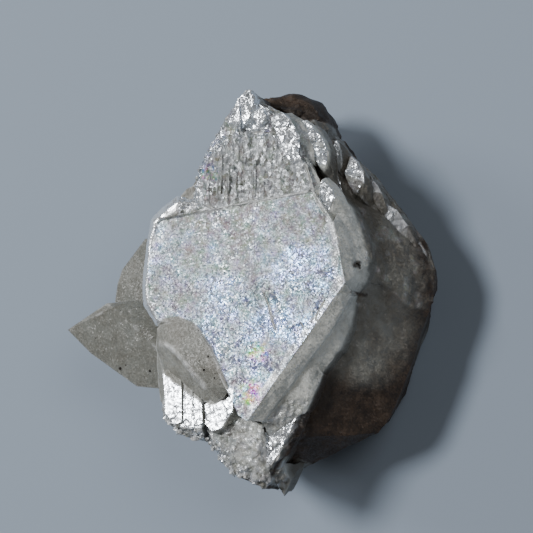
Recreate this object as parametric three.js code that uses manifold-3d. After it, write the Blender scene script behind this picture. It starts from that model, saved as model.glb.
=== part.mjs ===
// A tunellite crystal: one intergrown cluster, loose, lying on its broken back with the big
// pearly cleavage face up. Millimetres, +Z up, +Y along the prisms, origin under the middle of the
// cluster on the face that it rests on.
//
// Tunellite cleaves perfectly in one direction. Here that cleavage is level, so the ledges that
// breaks have left are level too, and so is the resting face. The prisms of the main crystal run
// along Y, side by side, and step down towards +X. Two wedge-shaped crystals grow out of the -X
// side, a small one sits in the lower left corner of the big face, a little proud of it, and a
// rounded knob stands behind the upper end.
//
// Every crystal is the convex hull of a few corners. A corner is [x, y] on a level that lies DEPTH
// below the big face, or [x, y, depth]. The hulls grow into each other, so they are one solid.
import * as THREE from "three";
import { ConvexGeometry } from "three/addons/geometries/ConvexGeometry.js";
import { mergeVertices } from "three/addons/utils/BufferGeometryUtils.js";
import Module from "manifold-3d";

const wasm = await Module();
wasm.setup();

// Driving dimensions.
const THICKNESS = 21.7; // from the resting face up to the big cleavage face
const SHOULDER = 4.4; // depth at which the front crystals give way to the body
const WIDEST = 12; // depth at which the body is widest
const ROOT = 9; // depth to which the shallow crystals of the front are rooted in the body
const BEVEL = 0.45; // height of the narrow bevel along a prism's edges
const LAYER = 1.8; // thickness of a middling layer of the broken sides
const GRAIN = 0.75; // width of a middling grain of the sugary edges
const CUT_CLEAR = 0.05; // how far a cut starts above the surface that it cuts

// The body. The waist and the resting outline have their corners in step, round from the right.
const BODY_SHOULDER = [
  [-13.2, 4], [-10, 8], [-5.5, 14.2], [1, 14.6], [5, 9.6], [8.6, 3.5], [9.4, -1.6], [7, -6.6],
  [2.4, -13.6], [-1, -19], [-6.5, -19], [-12, -15.5], [-13.6, -8],
];
const BODY_WAIST = [
  [15.9, -2.2], [16.1, 0.3], [14.9, 3.7], [12.2, 7.3], [9.3, 11.2], [6.2, 14.5], [4.4, 16.4], [-2.5, 17.2],
  [-9, 13.6], [-14, 8], [-16, 1], [-15.8, -6], [-13.8, -13], [-8.5, -19.2], [-0.6, -22.3], [4.4, -19.3],
  [9.2, -18], [11.3, -14.9], [13.3, -9.8], [15.3, -4.6],
];
const BODY_REST = [
  [12.8, -2.6], [13, 0], [12, 3.2], [9.8, 6.2], [7.4, 9.2], [5, 12], [3.4, 13.6], [-2.4, 14.6],
  [-7.8, 11.8], [-12, 7], [-14, 0.8], [-13.8, -5.4], [-12, -11.6], [-7.4, -16.6], [-1, -19.2], [3.6, -17.4],
  [7.8, -15.4], [9.6, -12.6], [11.2, -8.4], [12.6, -4.6],
];

// Corners of a level outline, or of one whose corners carry their own depth.
const level = (depth, outline) =>
  outline.map(([x, y, own = depth]) => new THREE.Vector3(x, y, THICKNESS - own));

// An outline grown about its own middle.
function grown(outline, by) {
  const mid = [0, 1].map((i) => outline.reduce((sum, c) => sum + c[i], 0) / outline.length);
  return outline.map(([x, y]) => [mid[0] + (x - mid[0]) * by, mid[1] + (y - mid[1]) * by]);
}

// A solid from a closed three.js geometry.
function solid(geometry) {
  const bare = new THREE.BufferGeometry();
  bare.setAttribute("position", geometry.getAttribute("position"));
  const merged = mergeVertices(bare, 1e-4);
  return new wasm.Manifold(
    new wasm.Mesh({
      numProp: 3,
      vertProperties: merged.attributes.position.array,
      triVerts: new Uint32Array(merged.index.array),
    }),
  );
}

// One crystal, from rings of corners.
const crystal = (...rings) => solid(new ConvexGeometry(rings.flat()));

// A repeatable random number from 0 to 1 at each call.
function dice(seed) {
  let state = seed;
  return () => {
    state = (state * 1664525 + 1013904223) % 4294967296;
    return state / 4294967296;
  };
}

// The body's outline at a depth below its waist.
function bodyOutline(depth) {
  const t = (depth - WIDEST) / (THICKNESS - WIDEST);
  return BODY_WAIST.map(([x, y], i) => [
    x + (BODY_REST[i][0] - x) * t,
    y + (BODY_REST[i][1] - y) * t,
  ]);
}

// The body, with cleavage layers that stand out by turns along its hidden sides.
function body() {
  const roll = dice(17);
  const layers = [];
  for (let depth = 6; depth < THICKNESS - 1.7 * LAYER; depth += LAYER * (0.5 + 0.9 * roll())) {
    const above = Math.max(WIDEST - depth, 0);
    const slip = [0.9 * (roll() - 0.5), 1.4 * (roll() - 0.5)];
    const outline = bodyOutline(Math.max(depth, WIDEST))
      .filter(() => roll() < 0.66)
      .map(([x, y]) => {
        if (x > 4 && y < 14) return [x * (0.94 - 0.06 * above), y * (0.94 - 0.06 * above)];
        const reach = 1 - 0.018 * above + 0.06 * roll();
        return [x * reach + slip[0], y * reach + slip[1]];
      });
    layers.push(
      crystal(
        level(depth, outline),
        level(depth + LAYER * (0.2 + 0.8 * roll()), grown(outline, 1.015)),
        level(depth + 1.6 * LAYER, grown(outline, 0.92)),
      ),
    );
  }
  return [
    crystal(level(SHOULDER, BODY_SHOULDER), level(WIDEST, BODY_WAIST), level(THICKNESS, BODY_REST)),
    ...layers,
  ];
}

// The big face: a centre with a lobe on its left, the lobe edged by a narrow bright bevel.
function bigFace() {
  const centre = [
    [-6.2, 6.9], [5.4, 8.3], [6.7, 5.7], [7.8, 4.6], [8.2, 3], [8.3, -1.2], [9.1, -2.2],
    [-2.3, -17.1], [-3.4, -16.5], [-4.8, -12.5], [-6.3, -9.1], [-8.2, -6.6],
  ];
  const lobe = [
    [-9, 7.9], [-10.6, 7.9], [-12.1, 6.9], [-13.3, 5.5], [-14, 3], [-14.4, -1.8], [-14.2, -3.6],
    [-13.1, -5.5], [-8, -6.8], [-6.2, 6.9],
  ];
  const lobeRim = [
    [-9.3, 8.5], [-11.1, 8.6], [-12.8, 7.5], [-14.2, 6], [-14.8, 3.2], [-15.3, -1.7],
    [-15.1, -3.8], [-13.5, -6.1], [-8, -6.8], [-6.2, 6.9],
  ];
  return [
    crystal(level(0, centre), level(ROOT, centre)),
    crystal(level(0, lobe), level(0.8, lobeRim), level(3.4, lobeRim), level(ROOT, lobe)),
  ];
}

// A prism along Y whose upper end is a chisel. Its crest is level or dips towards its upper end.
function prism({ x, top, foot, width, depth, dip = 0, root = ROOT }) {
  const end = depth + dip;
  const crest = 0.3 * width;
  const side = 0.5 * width;
  return crystal(
    level(depth, [[x - crest, foot], [x + crest, foot]]),
    level(end, [[x - crest, top - 0.8 * width], [x + crest, top - 0.8 * width], [x, top - 0.3 * width]]),
    level(depth + BEVEL, [[x - side, foot], [x + side, foot]]),
    level(end + BEVEL, [[x - side, top - 0.6 * width], [x + side, top - 0.6 * width], [x, top]]),
    level(root, [[x - side, foot], [x + side, foot], [x - side, top - width], [x + side, top - width]]),
  );
}

// The upper part leans back from the big face. Low gables close it off, and a deeper row of
// crystals behind them holds the highest tip and, on the right, a blunt cap with a smooth side.
function upperEnd() {
  const slope = [
    [-8.1, 6.6, 0.3], [5.4, 8.4, 0.3], [5, 9.6, 0.5], [4.2, 11.7, 0.8], [3, 12.6, 0.95], [1, 15, 1.3],
    [-5.2, 15.4, 1.35], [-6.8, 14.8, 1.4], [-8, 12.8, 1.3], [-8.9, 9.4, 0.95],
  ];
  const slopeEdge = [
    [-9.9, 8.4, 1.8], [-9.4, 10.1, 1.9], [-9, 11.4, 2], [-8.4, 13.7, 2.2], [-7.8, 14.9, 2.3],
    [-6.8, 15.9, 2.4],
    [-5.2, 16, 2.2], [1, 15.6, 2.2], [4.4, 12.2, 1.6], [5.7, 9.8, 1.6], [6.2, 7, 1.5],
  ];
  const slopeRoot = [[-8.6, 4], [4.6, 4], [-5.4, 14.6], [2, 14.6]];
  const striae = [
    { x: -7.5, top: 12.9, width: 1.5 }, { x: -5.9, top: 13.8, width: 0.8 },
    { x: -4.9, top: 11.8, width: 0.6 }, { x: -3.6, top: 13.4, width: 1.6 },
    { x: -1.7, top: 12.7, width: 0.9 }, { x: -0.4, top: 13.8, width: 1.3 },
    { x: 1.5, top: 12.9, width: 0.7 }, { x: 2.6, top: 11.6, width: 1.1 },
  ];
  const gables = [
    { x: -6.3, top: 15.6, width: 1.5 }, { x: -4.1, top: 16.8, width: 1.5 },
    { x: -2.9, top: 16.1, width: 1.7 }, { x: -0.9, top: 15.8, width: 1.9 },
    { x: 0.5, top: 15.4, width: 1.3 },
  ];
  const leftSlab = [[-7, 15.2], [-6, 17], [-5, 17.8], [-4.6, 19.1], [-4, 19.7], [-3.8, 15.6], [-5, 15]];
  const column = [
    [-3.6, 17.6], [-3.6, 19.8], [-3, 20.6], [-2.4, 20.4], [-2.2, 18.8], [-2.6, 17.4], [-3.1, 16.5],
  ];
  const columnSide = [
    [-4.1, 16], [-4.2, 18.8], [-3.8, 20.3], [-3.1, 20.9], [-1.9, 19.9], [-1.3, 18.8], [-1.5, 17], [-2.2, 16],
  ];
  const lozenge = [
    [-2.1, 17], [-2.15, 17.8], [-1.6, 18.15], [-1, 18.05], [-0.65, 17.5], [-0.85, 16.9], [-1.4, 16.3],
  ];
  const notch = [[-5, 14.2], [-4.6, 17.8], [-3, 19.8], [-1.3, 18.4], [0.4, 17.6], [1.4, 14.2]];
  const cap = [
    [0.1, 16.7], [0.6, 17.4], [1.4, 17.5], [2.4, 16.7], [3.2, 15.4], [3.6, 14], [3.4, 12.6], [2.9, 12],
    [2.3, 12.6], [1.6, 14.2], [0.9, 15.4],
  ];
  const capSide = [
    [0.2, 17.8], [2, 17.8], [3.2, 16.8], [3.9, 15.8], [4.3, 14.4], [4.6, 13], [4.6, 11.6], [2.4, 12],
    [0, 16.2],
  ];
  const behind = [[-3.4, 19.2], [-1.6, 19.4], [-0.8, 18.4], [2.2, 17.4], [3.8, 15.6]];
  const behindRoot = [[-5, 14], [-3.4, 18.4], [-1, 18.2], [4.6, 14], [2, 10]];
  return [
    crystal(level(0, slope), level(0, slopeEdge), level(ROOT, slopeRoot)),
    ...striae.map((s) => prism({ ...s, foot: 7.8, depth: 0.31, dip: 0.125 * (s.top - 8.6) })),
    ...gables.map((g) => prism({ ...g, foot: 11, depth: 0.74, dip: 0.22 })),
    crystal(level(1.8, leftSlab), level(3, grown(leftSlab, 1.16)), level(ROOT, grown(leftSlab, 0.9))),
    crystal(level(1.4, column), level(3.2, columnSide), level(ROOT, grown(columnSide, 0.8))),
    crystal(level(1.55, lozenge), level(2.6, grown(lozenge, 1.3)), level(ROOT, lozenge)),
    crystal(level(2.3, notch), level(ROOT, notch)),
    crystal(level(1, cap), level(2.9, capSide), level(ROOT, grown(capSide, 0.9))),
    crystal(level(3.4, behind), level(ROOT, behindRoot)),
  ];
}

// The sloping shoulder from the dark gully down to the upper right edge.
function rightShoulder() {
  const gully = [
    [3.6, 13, 4.2], [4.6, 11, 5.1], [6.2, 9.5, 6.1], [7.5, 8.3, 7.1], [9, 7.1, 8.1], [9.9, 4.3, 8.9],
    [9.8, 1.2, 9.5],
  ];
  const edge = [
    [4.4, 15.8, 5.6], [6.3, 14.8, 6.8], [7.5, 13.6, 7.8], [9, 11.6, 9], [10.8, 9.4, 10], [12.2, 7.3, 10.9],
    [13.5, 5.6, 11.6], [14.9, 3.6, 12.2], [15.5, 2, 12.8], [15.8, 0.4, 13.4],
  ];
  const root = [[2, 12], [6, 12], [12.4, 4], [13.6, -2], [8, -4], [4, 2]];
  return [crystal(level(0, gully), level(0, edge), level(14.4, root))];
}

// Crystals that step down along the shoulder. Each has a crest that sinks towards its lower end,
// and one long side facet towards +X.
function rightLedges() {
  const ledges = [
    {
      crest: [
        [5.9, 8.4, 0.6], [6.3, 9.5, 0.7], [7.3, 8.5, 0.8], [7.7, 7.5, 0.9], [7.4, 6, 1], [6.8, 5.6, 0.8],
        [6, 6.8, 0.6],
      ],
      side: [[5.6, 9.7, 2.4], [6.4, 10, 2.6], [8.1, 8.2, 2.8], [8.9, 6.6, 2.8], [8.2, 5, 2.6]],
    },
    {
      crest: [
        [3.1, 16.6, 2.7], [3.8, 16.7, 2.7], [4.8, 15.7, 2.8], [5.6, 14.7, 2.9], [6.1, 13.4, 3.1],
        [5.9, 12, 3.5],
        [5.5, 10.9, 3.9], [5, 11.8, 3.5], [4.3, 13.3, 3], [3.7, 15, 2.8],
      ],
      side: [
        [3.4, 17.1, 4.6], [5.2, 15.9, 5], [6.4, 14, 5.2], [6.7, 11.6, 5.6], [6.6, 9.2, 5.9],
        [5.2, 9.9, 5.4],
      ],
    },
    {
      crest: [
        [6.3, 14.6, 5.1], [6.6, 14.8, 5.2], [7, 13.7, 5.3], [7.1, 12.2, 5.6], [6.6, 11.2, 6],
        [6.3, 13, 5.4],
      ],
      side: [
        [5.9, 14.9, 6.7], [6.5, 14.8, 6.8], [7.7, 13.4, 7.4], [7.8, 11.4, 7.6], [7, 9.8, 7.4],
        [5.8, 12, 6.4],
      ],
    },
    {
      crest: [
        [7.8, 12.2, 5.7], [8.2, 12.8, 5.7], [8.8, 12.3, 5.8], [9.4, 11.2, 6], [9.4, 10, 6.4], [8.9, 8.2, 7.2],
        [8.3, 8.7, 6.9], [7.6, 9.8, 6.4], [7.3, 11, 5.9],
      ],
      side: [[7.3, 13.3, 7.8], [8.4, 12.5, 8.2], [9.8, 10.7, 9], [10.4, 8.7, 9.2], [9.8, 7, 9], [8, 7.6, 8]],
    },
    {
      crest: [
        [9.8, 10.9, 8], [10.2, 10.2, 8.1], [10.9, 9, 8.4], [11.3, 7.4, 9], [10.9, 6.2, 9.4],
        [10.4, 7.4, 8.7], [9.8, 9.2, 8],
      ],
      side: [[9.4, 11.2, 9.4], [10.7, 9.4, 10], [11.8, 7.5, 10.6], [11.6, 5.6, 10.4], [10.2, 6.2, 9.6]],
    },
    {
      crest: [
        [11.3, 7.7, 9.3], [12.3, 7.1, 9.6], [13.4, 5.4, 10.1], [14.2, 3.2, 10.7], [13.8, 2.1, 10.7],
        [12.8, 1.2, 10.4],
        [11.3, 1.4, 9.9], [10.7, 3.1, 9.4], [10.6, 5, 9.2],
      ],
      side: [
        [11.2, 8.1, 10.6], [12.3, 7.2, 11], [13.7, 5.4, 11.6], [14.8, 3.2, 12.2], [14.4, 1, 12],
        [12.8, 0.2, 11], [11, 0.7, 10.4], [10.2, 3, 10],
      ],
    },
    {
      crest: [
        [14.4, 3.6, 11.2], [15, 2.5, 11.4], [15.5, 0.8, 11.8], [15.4, -1.4, 12.2], [14.8, -2.7, 12.4],
        [14.2, -1, 11.6], [14, 1.6, 11.2],
      ],
      side: [
        [14, 4.8, 12.4], [15, 3.4, 12.6], [15.8, 1, 13], [15.8, -1.6, 13.2], [15.3, -3.4, 13.4],
        [13.8, -1, 12.6],
      ],
    },
  ];
  const rootBelow = 3.5;
  return ledges.map(({ crest, side }) =>
    crystal(
      level(0, crest),
      level(0, side),
      level(0, crest.map(([x, y, depth]) => [x - 0.1, y - 0.1, depth + rootBelow])),
    ),
  );
}

// The pale smooth flank on the right of the big face, and the sloping layers below the face's
// lower right edge, ending in a narrow glittering ledge.
function rightFlanks() {
  const paleFlank = [
    level(0.1, [[7.8, 4.6], [8.2, 3], [8.3, -1.2], [9.1, -2.2]]),
    level(4.5, [[7.8, 8.2], [8.9, 7], [9.8, 5.4], [10.6, 2.5], [10.9, 0.6], [10.3, -1.6], [9.2, -3]]),
    level(WIDEST, [[8, 7.4], [10.6, 3], [11, -2.4], [7.6, -6.4]]),
  ];
  const bevel = [
    level(0, [[9, -2.2], [-2.3, -17.1]]),
    level(1.6, [[9.5, -3.2], [7.5, -6.6], [5.5, -8.8], [3.4, -10.9], [1.4, -13.4], [-1.1, -17.2]]),
    level(ROOT, [[9, -3], [7, -7], [0, -16.5], [-4, -15]]),
  ];
  const upperLayer = [
    level(1.8, [[8.8, -3.4], [7.4, -6.4], [2.2, -12.6]]),
    level(4, [[8.8, -4.2], [8.2, -7.2], [7.2, -9.2], [5.6, -10.6], [5, -11.8]]),
    level(ROOT + 1, [[9.6, -5], [7.6, -9.6], [5, -12.6], [-4, -12]]),
  ];
  const lowerLayer = [
    level(2, [[4.4, -9.8], [1, -14], [-1.5, -17]]),
    level(4, [[5.2, -11.8], [3.7, -14], [3.3, -15.8], [-1, -18.6]]),
    level(ROOT, [[5.4, -12], [3.4, -15.6], [-1, -18.4], [-4, -15]]),
  ];
  const ledge = [
    level(4, [
      [2.5, -15.5], [0.8, -16.1], [-0.8, -17.4], [-1.9, -18.5], [-2.6, -20.7], [-2, -22.4], [-0.8, -21.8],
      [0.3, -19.6], [1.7, -17.4],
    ]),
    level(5.5, [
      [3.8, -14.4], [3, -15.6], [2.4, -17.6], [1.2, -19.8], [-0.7, -22.8], [-1.4, -23.4], [-3, -22],
    ]),
    level(ROOT + 2, [[2.6, -14.8], [2, -17], [-1.6, -22.4], [-4, -19]]),
  ];
  return [paleFlank, bevel, upperLayer, lowerLayer, ledge].map((rings) => crystal(...rings));
}

// The lower left corner: three short level prisms, the rightmost set off by a groove, on a block
// with a narrow flank towards -X, and the dull slope of the bottom end.
function lowerLeft() {
  const block = [
    [-13.3, -6], [-13.4, -11], [-13.1, -14.6], [-12.2, -16.6], [-11, -17.4], [-8.7, -17.6], [-8.5, -14],
    [-8, -7],
  ];
  const blockRim = [
    [-14.7, -6], [-14.6, -10.8], [-14.2, -14.1], [-13.4, -16.7], [-11.9, -18], [-10.2, -18.8], [-8.9, -18.7],
    [-8.6, -14], [-8, -6.5],
  ];
  const tablets = [
    {
      depth: 2.05,
      outline: [[-13, -11.2], [-12.4, -10.8], [-11, -12.2], [-10.9, -16.9], [-11.8, -17.2], [-12.9, -15.8]],
    },
    { depth: 2.3, outline: [[-10.75, -12.6], [-9.7, -13.4], [-9.6, -17.3], [-10.75, -17.3]] },
    { depth: 2.15, outline: [[-9.5, -13.7], [-8.6, -14.4], [-8.4, -17.1], [-9.5, -17.4]] },
  ];
  const bright = [
    [-8, -15], [-7.2, -14.5], [-5.4, -14.1], [-4.6, -14.8], [-4.8, -15.9], [-6.1, -17.7], [-7.2, -18],
    [-8, -17.2],
  ];
  const slope = [[-8.1, -17.6], [-4.7, -16.6], [-3.4, -17.1], [-1.6, -17.3], [-2.1, -20.2]];
  const slopeEdge = [
    [-8.6, -18.6], [-7.7, -20.2], [-6.6, -22], [-5.3, -23], [-3.4, -23.6], [-1.8, -24.5], [-1.1, -23.6],
  ];
  const tip = [[-1.5, -23.8], [-0.5, -25.3], [0.3, -23.4]];
  const tipRoot = [[-1.8, -22], [-0.7, -24.2], [0.6, -21.4]];
  return [
    crystal(level(2.5, block), level(3.6, blockRim), level(ROOT, blockRim)),
    ...tablets.map(({ depth, outline }) =>
      crystal(level(depth, outline), level(depth + 0.6, grown(outline, 1.1)), level(ROOT, outline)),
    ),
    crystal(level(1.9, bright), level(3.3, grown(bright, 1.12)), level(ROOT, slope)),
    crystal(level(3, slope), level(4.6, slopeEdge), level(ROOT, slopeEdge)),
    crystal(level(5.6, [[-1.8, -22.6], [-0.2, -21.6]]), level(7.4, tip), level(ROOT + 2, tipRoot)),
  ];
}

// A small crystal in the lower left of the big face, a little proud of it: two smooth facets that
// meet in a low ridge.
function cornerCrystal() {
  const ridge = [
    [-13, -8.1, 0.5], [-11.5, -8.7, -0.1], [-10.2, -9.8, -0.3], [-8.9, -11.5, -0.1], [-7.4, -13.3, 0.6],
  ];
  const upper = [
    [-13.5, -6.4, 0.9], [-12.2, -5.5, 0.1], [-10.5, -5.3, -0.06], [-9.1, -5.9, -0.06], [-7.9, -7.1, -0.06],
    [-6.7, -8.9, -0.06], [-5.7, -11, 0], [-4.7, -13.3, 0.8], [-5.6, -14.4, 1.5], [-6.8, -14.9, 1.9],
  ];
  const lower = [[-14.3, -8.6, 2.6], [-13.3, -11.2, 2.7], [-11.1, -12.8, 2.7], [-8.5, -14.7, 2.7]];
  const root = [[-13.2, -7], [-9, -6.6], [-5.6, -12], [-8.6, -14.2], [-13, -11]];
  return [crystal(level(0, ridge), level(0, upper), level(0, lower), level(ROOT, root))];
}

// Two wedge-shaped crystals that stand out to the left, rooted in the body.
function leftWedges() {
  const front = [
    [-28.5, -5.2, 9.2], [-25.5, -8.1, 9.3], [-19.4, -12.2, 9], [-16, -12.6, 8.4],
    [-21.6, -3, 6.9], [-15.6, -8.4, 6.8], [-22.7, -2.4, 7.6], [-19.3, -2.1, 8.4], [-14, -3.4, 9.2],
    [-12, -9, 7.5], [-24.5, -5.4, 12.6], [-18.6, -9.6, 14], [-18.4, -3.6, 13.6], [-12, -7, 14.5],
  ];
  const rear = [
    [-23.1, -1.9, 10.8], [-22.6, 0.2, 10.4], [-22, 1.9, 10.4], [-20.2, 4, 10.6], [-19.4, 5.6, 11.2],
    [-18.2, 1, 9.4], [-17.6, -3, 9.4], [-21, 0, 15], [-18, 4.2, 15.4], [-13, 6, 12], [-12, -2, 14.6],
  ];
  return [crystal(level(0, front)), crystal(level(0, rear))];
}

// The rounded knob behind the upper end.
function knob() {
  const front = [[-3.6, 19.6], [-1, 19.6], [1.8, 18.4], [3.6, 16.8], [4.6, 15.2]];
  const brow = [[-3.4, 20.9], [-1.4, 21.3], [0.6, 21], [2.2, 20.2], [3.2, 19], [4.2, 17.2]];
  const outline = [
    [-4.1, 21.2], [-3.3, 21.5], [-2.3, 21.8], [-1.1, 21.9], [0.4, 21.5], [1.6, 21.2], [2.6, 20.8],
    [3.2, 20], [3.7, 19], [4.2, 18.2], [4.5, 17.2], [4.8, 16.2],
  ];
  const nape = [[-4.6, 20.4], [-2.4, 21.1], [0, 20.9], [2, 20], [3, 18.4], [3.8, 16.4]];
  const back = [[-4.4, 19.6], [-1.6, 20.8], [1.6, 20.2], [3.4, 17.6], [2, 12], [-5, 12]];
  return [
    crystal(level(7.6, front), level(8.8, brow), level(10.9, outline), level(14, nape), level(17, back)),
    crystal(
      level(6.8, [[-0.6, 19.2], [1, 19], [0.8, 18]]),
      level(8.2, [[-1.4, 20], [1.2, 20], [2.2, 18.8], [0.6, 17]]),
      level(11, [[-1, 19], [1.4, 18]]),
    ),
    crystal(
      level(7.2, [[3.2, 17.4], [4, 16.4]]),
      level(8.6, [[2.4, 18.6], [3.6, 18.2], [4.6, 16.8], [4.4, 15.4]]),
      level(12, [[2, 17], [4, 16]]),
    ),
  ];
}

// Crystals of the hidden left side and back: parallel prisms and blunt blocks on the body.
function hiddenSides() {
  const blocks = [
    {
      depth: 5.2, drop: 2.6, spread: 1.1,
      outline: [[-15.4, 2], [-14.6, 6.4], [-12.6, 8.8], [-10, 8], [-11, -4]],
    },
    {
      depth: 7.4, drop: 3, spread: 1.06,
      outline: [[-16.2, -2], [-16.6, 3], [-15.2, 7.6], [-12.6, 10.6], [-9.6, 12], [-8, 6]],
    },
    {
      depth: 6.6, drop: 3.4, spread: 1.16,
      outline: [[-9, 12.6], [-7.4, 15.4], [-5, 17.2], [-4, 14], [-7, 10]],
    },
    {
      depth: 10, drop: 3.2, spread: 1.05,
      outline: [[-14, 9], [-12.4, 12.2], [-8.8, 15], [-5, 16.6], [-6, 10]],
    },
    {
      depth: 8.4, drop: 3.4, spread: 1.05,
      outline: [[-15, -10.6], [-14.6, -14.2], [-12.4, -17.6], [-9.6, -19], [-9, -12]],
    },
    {
      depth: 9, drop: 3.6, spread: 1.04,
      outline: [[-8.8, -19.4], [-6.4, -21.8], [-3, -23], [-2, -18], [-7, -15]],
    },
    {
      depth: 14.6, drop: 2.4, spread: 1.03,
      outline: [[-16, -3], [-15.6, 3], [-13.4, 7.6], [-10, 6], [-10, -4]],
    },
    {
      depth: 15.6, drop: 2.6, spread: 1.04,
      outline: [[-13.4, -8], [-12.8, -12.4], [-9.8, -15.8], [-6, -17.4], [-6, -9]],
    },
    { depth: 15, outline: [[-5.4, 16], [-1.4, 17], [2.6, 16], [2, 11], [-5, 11]], drop: 2.8, spread: 1.04 },
    {
      depth: 17.4, drop: 1.9, spread: 1.04,
      outline: [[2, -18.6], [6.6, -17], [9, -13.4], [7, -9], [1, -11]],
    },
    {
      depth: 16.4, drop: 2.2, spread: 1.03,
      outline: [[12.9, -5.4], [13.6, -1], [12.8, 2.6], [9, 3], [9, -5]],
    },
  ];
  return blocks.map(({ depth, outline, drop, spread }) =>
    crystal(
      level(depth, outline),
      level(depth + drop, grown(outline, spread)),
      level(Math.min(depth + 1.6 * drop, THICKNESS - 0.6), grown(outline, 0.9)),
    ),
  );
}

// Where cleavage chips have come off the resting side.
function undersideSteps() {
  const steps = [
    { rise: 0.9, outline: [[13, 7], [4.4, 14], [3.4, 8.2], [7.6, 4.6], [13, 3.4]] },
    { rise: 0.55, outline: [[-14, 8], [-6, 14.4], [-2.6, 14.6], [-5.4, 8], [-10.6, 2.6], [-15, 1.4]] },
    { rise: 1.3, outline: [[-14, -7], [-9.4, -9.6], [-6.2, -13.2], [-6, -19], [-15, -16]] },
    { rise: 0.7, outline: [[1.6, -19], [2.6, -13.4], [6.2, -11], [12, -10.4], [10, -18]] },
  ];
  return steps.map(({ rise, outline }) =>
    crystal(level(THICKNESS + 1, outline), level(THICKNESS - rise, grown(outline, 0.97))),
  );
}

// A narrow groove along a path of [x, y, depth] corners of a surface.
function groove(path, width, deep) {
  return path.slice(1).map((b, i) => {
    const a = path[i];
    const length = Math.hypot(b[0] - a[0], b[1] - a[1]);
    const across = [(-(b[1] - a[1]) / length) * (width / 2), ((b[0] - a[0]) / length) * (width / 2)];
    const lip = ([x, y, depth], side) => [x + side * across[0], y + side * across[1], depth - CUT_CLEAR];
    const bed = [a, b].map(([x, y, depth]) => [x, y, depth + deep]);
    return crystal(level(0, [lip(a, -1), lip(a, 1), lip(b, -1), lip(b, 1)]), level(0, bed));
  });
}

// A pit that narrows from a mouth of [x, y, depth] corners.
function pit(mouth) {
  const above = mouth.map(([x, y, depth]) => [x, y, depth - 0.6]);
  const bed = grown(mouth, 0.6).map(([x, y]) => [x - 0.3, y]);
  return crystal(level(0, above), level(3.2, bed));
}

// Open cracks in the big face, and dark pits beside it.
function cracks() {
  const pits = [
    [[9.4, -0.2, 2.6], [9.7, 0.3, 2.6], [10.3, 0.1, 3.2], [10.2, -0.4, 3.2]],
    [[8.9, -2.9, 1.6], [9.5, -2.5, 1.8], [10.3, -2.7, 3], [10.1, -3.4, 3], [9.2, -3.5, 2]],
  ];
  return [
    ...groove([[-0.5, -2.6, 0], [0.2, -4.3, 0], [0.5, -5.6, 0], [1, -7.1, 0]], 0.22, 0.2),
    ...groove([[6.8, -4, 0], [6.1, -5, 0], [5.7, -6, 0], [6.4, -6.9, 0]], 0.2, 0.25),
    ...groove([[4, -6.3, 0], [4.4, -7.3, 0], [5.1, -8.4, 0]], 0.16, 0.2),
    ...groove([[4.3, 11.5, 0.75], [5, 9.4, 0.4], [5.3, 8.6, 0.25], [6, 6.9, 0], [6.8, 5.6, 0]], 0.24, 0.35),
    ...pits.map(pit),
  ];
}

// A grain of the sugary edges: a flat tablet with a five-cornered top, a little out of level.
function grain(spot, size, roll) {
  const angles = [0, 1.1, 2.4, 3.6, 5.1].map((a) => a + 0.5 * roll());
  const ring = (reach, height) =>
    angles.map((a) => new THREE.Vector3(0.75 * reach * Math.cos(a), reach * Math.sin(a), height));
  const tilt = new THREE.Euler(0.7 * (roll() - 0.5), 0.7 * (roll() - 0.5), 0.6 * (roll() - 0.5));
  const scale = size * (0.55 + 0.9 * roll());
  return crystal(
    [...ring(0.36, 0.25), ...ring(0.5, 0), new THREE.Vector3(0, 0, -1.8)].map((corner) =>
      corner.multiplyScalar(scale).applyEuler(tilt).add(spot),
    ),
  );
}

// Grains scattered in a band along a path of [x, y, depth] corners.
function grains({ path, count, band, size = GRAIN }, seed) {
  const roll = dice(seed);
  return Array.from({ length: count }, (_, i) => {
    const t = ((i + roll()) / count) * (path.length - 1);
    const at = Math.min(Math.floor(t), path.length - 2);
    const along = t - at;
    const [x, y, depth] = path[at].map((from, axis) => from + (path[at + 1][axis] - from) * along);
    const spot = new THREE.Vector3(
      x + band * (roll() - 0.5),
      y + band * (roll() - 0.5),
      THICKNESS - depth + 0.12 * (roll() - 0.5),
    );
    return grain(spot, size, roll);
  });
}

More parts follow.
